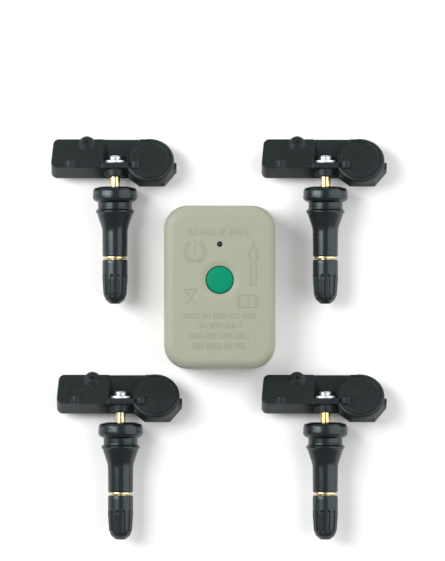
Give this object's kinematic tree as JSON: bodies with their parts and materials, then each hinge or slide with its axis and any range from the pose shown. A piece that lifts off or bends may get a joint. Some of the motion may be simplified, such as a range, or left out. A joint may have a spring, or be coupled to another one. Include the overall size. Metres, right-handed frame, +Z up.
{
  "type": "tire pressure monitor",
  "caption": "Snap-in wheel pressure sensors with rubber valve stems, laid round the hand-held activation tool that wakes and teaches them.",
  "frame": {"origin": "middle of the flat back of the hand tool, which lies on the table", "axes": "+Z up from the table, +Y towards the tool's lamp end and the sensors' bodies, +X to the right as the button is looked at"},
  "size_m": [0.1565, 0.188, 0.0273],
  "materials": {
    "case_plastic": "fine-grained moulded beige plastic",
    "button_plastic": "satin green plastic",
    "lamp_lens": "smoked clear plastic",
    "circuit_board": "green solder mask on glass laminate",
    "switch_plastic": "black moulded plastic",
    "copper_wire": "enamelled copper wire",
    "ferrite": "sintered ferrite",
    "battery_can": "printed steel can, plain",
    "sensor_plastic": "grainy charcoal glass-filled nylon",
    "valve_rubber": "satin black moulded rubber",
    "cap_plastic": "satin black plastic",
    "brass": "turned brass",
    "core_brass": "turned brass",
    "seal_rubber": "soft red rubber",
    "cell_steel": "nickel-plated steel",
    "screw_steel": "bright zinc-plated steel",
    "washer_steel": "bright plated steel"
  },
  "bodies": {
    "tool": {"tool_front_shell": "case_plastic", "tool_back_shell": "case_plastic", "tool_lamp_lens": "lamp_lens", "tool_circuit_board": "circuit_board", "tool_tact_switch": "switch_plastic", "tool_antenna_coil": "copper_wire", "tool_ferrite_rod": "ferrite", "tool_block_battery": "battery_can", "tool_battery_snap": "switch_plastic", "tool_case_screws": "screw_steel"},
    "button": {"tool_green_button": "button_plastic"},
    "battery_door": {"tool_battery_door": "case_plastic"},
    "sensor1": {"sensor1_housing": "sensor_plastic", "sensor1_battery_lid": "sensor_plastic", "sensor1_coin_cell": "cell_steel", "sensor1_circuit_board": "circuit_board", "sensor1_clamp_screw": "screw_steel", "sensor1_washer": "washer_steel", "sensor1_brass_stem": "brass", "sensor1_rubber_stem": "valve_rubber", "sensor1_valve_core": "core_brass"},
    "sensor1_pin": {"sensor1_valve_pin": "core_brass"},
    "sensor1_seal": {"sensor1_cap_seal": "seal_rubber"},
    "sensor1_cap": {"sensor1_valve_cap": "cap_plastic"},
    "sensor2": {"sensor2_housing": "sensor_plastic", "sensor2_battery_lid": "sensor_plastic", "sensor2_coin_cell": "cell_steel", "sensor2_circuit_board": "circuit_board", "sensor2_clamp_screw": "screw_steel", "sensor2_washer": "washer_steel", "sensor2_brass_stem": "brass", "sensor2_rubber_stem": "valve_rubber", "sensor2_valve_core": "core_brass"},
    "sensor2_pin": {"sensor2_valve_pin": "core_brass"},
    "sensor2_seal": {"sensor2_cap_seal": "seal_rubber"},
    "sensor2_cap": {"sensor2_valve_cap": "cap_plastic"},
    "sensor3": {"sensor3_housing": "sensor_plastic", "sensor3_battery_lid": "sensor_plastic", "sensor3_coin_cell": "cell_steel", "sensor3_circuit_board": "circuit_board", "sensor3_clamp_screw": "screw_steel", "sensor3_washer": "washer_steel", "sensor3_brass_stem": "brass", "sensor3_rubber_stem": "valve_rubber", "sensor3_valve_core": "core_brass"},
    "sensor3_pin": {"sensor3_valve_pin": "core_brass"},
    "sensor3_seal": {"sensor3_cap_seal": "seal_rubber"},
    "sensor3_cap": {"sensor3_valve_cap": "cap_plastic"},
    "sensor4": {"sensor4_housing": "sensor_plastic", "sensor4_battery_lid": "sensor_plastic", "sensor4_coin_cell": "cell_steel", "sensor4_circuit_board": "circuit_board", "sensor4_clamp_screw": "screw_steel", "sensor4_washer": "washer_steel", "sensor4_brass_stem": "brass", "sensor4_rubber_stem": "valve_rubber", "sensor4_valve_core": "core_brass"},
    "sensor4_pin": {"sensor4_valve_pin": "core_brass"},
    "sensor4_seal": {"sensor4_cap_seal": "seal_rubber"},
    "sensor4_cap": {"sensor4_valve_cap": "cap_plastic"}
  },
  "joints": [
    {"name": "button_press", "type": "slide", "parent": "tool", "child": "button", "axis": [0, 0, -1], "range_m": [0, 0.0006], "stiffness_N_per_m": 2000, "springref_m": -0.0005},
    {"name": "battery_door_slide", "type": "slide", "parent": "tool", "child": "battery_door", "axis": [0, -1, 0], "range_m": [0, 0.05]},
    {"name": "sensor1_lift", "type": "slide", "parent": "tool", "child": "sensor1", "axis": [0, 0, 1], "range_m": [0, 0.05]},
    {"name": "sensor1_pin_press", "type": "slide", "parent": "sensor1", "child": "sensor1_pin", "axis": [0, 1, 0], "range_m": [0, 0.0012], "stiffness_N_per_m": 400, "springref_m": -0.001},
    {"name": "sensor1_cap_rise", "type": "slide", "parent": "sensor1", "child": "sensor1_seal", "axis": [0, -1, 0], "range_m": [0, 0.00635]},
    {"name": "sensor1_cap_turn", "type": "hinge", "parent": "sensor1_seal", "child": "sensor1_cap", "pos_m": [-0.04875, 0.0065, 0.0105], "axis": [0, -1, 0], "range_deg": [0, 2880]},
    {"name": "sensor2_lift", "type": "slide", "parent": "tool", "child": "sensor2", "axis": [0, 0, 1], "range_m": [0, 0.05]},
    {"name": "sensor2_pin_press", "type": "slide", "parent": "sensor2", "child": "sensor2_pin", "axis": [0, 1, 0], "range_m": [0, 0.0012], "stiffness_N_per_m": 400, "springref_m": -0.001},
    {"name": "sensor2_cap_rise", "type": "slide", "parent": "sensor2", "child": "sensor2_seal", "axis": [0, -1, 0], "range_m": [0, 0.00635]},
    {"name": "sensor2_cap_turn", "type": "hinge", "parent": "sensor2_seal", "child": "sensor2_cap", "pos_m": [0.0492, 0.0065, 0.0105], "axis": [0, -1, 0], "range_deg": [0, 2880]},
    {"name": "sensor3_lift", "type": "slide", "parent": "tool", "child": "sensor3", "axis": [0, 0, 1], "range_m": [0, 0.05]},
    {"name": "sensor3_pin_press", "type": "slide", "parent": "sensor3", "child": "sensor3_pin", "axis": [0, 1, 0], "range_m": [0, 0.0012], "stiffness_N_per_m": 400, "springref_m": -0.001},
    {"name": "sensor3_cap_rise", "type": "slide", "parent": "sensor3", "child": "sensor3_seal", "axis": [0, -1, 0], "range_m": [0, 0.00635]},
    {"name": "sensor3_cap_turn", "type": "hinge", "parent": "sensor3_seal", "child": "sensor3_cap", "pos_m": [-0.04615, -0.10322, 0.0105], "axis": [0, -1, 0], "range_deg": [0, 2880]},
    {"name": "sensor4_lift", "type": "slide", "parent": "tool", "child": "sensor4", "axis": [0, 0, 1], "range_m": [0, 0.05]},
    {"name": "sensor4_pin_press", "type": "slide", "parent": "sensor4", "child": "sensor4_pin", "axis": [0, 1, 0], "range_m": [0, 0.0012], "stiffness_N_per_m": 400, "springref_m": -0.001},
    {"name": "sensor4_cap_rise", "type": "slide", "parent": "sensor4", "child": "sensor4_seal", "axis": [0, -1, 0], "range_m": [0, 0.00635]},
    {"name": "sensor4_cap_turn", "type": "hinge", "parent": "sensor4_seal", "child": "sensor4_cap", "pos_m": [0.04915, -0.10322, 0.0105], "axis": [0, -1, 0], "range_deg": [0, 2880]}
  ],
  "couplings": [
    {"joint": "sensor1_cap_turn", "follows": "sensor1_cap_rise", "rad_per_m": 7915.8},
    {"joint": "sensor2_cap_turn", "follows": "sensor2_cap_rise", "rad_per_m": 7915.8},
    {"joint": "sensor3_cap_turn", "follows": "sensor3_cap_rise", "rad_per_m": 7915.8},
    {"joint": "sensor4_cap_turn", "follows": "sensor4_cap_rise", "rad_per_m": 7915.8}
  ]
}
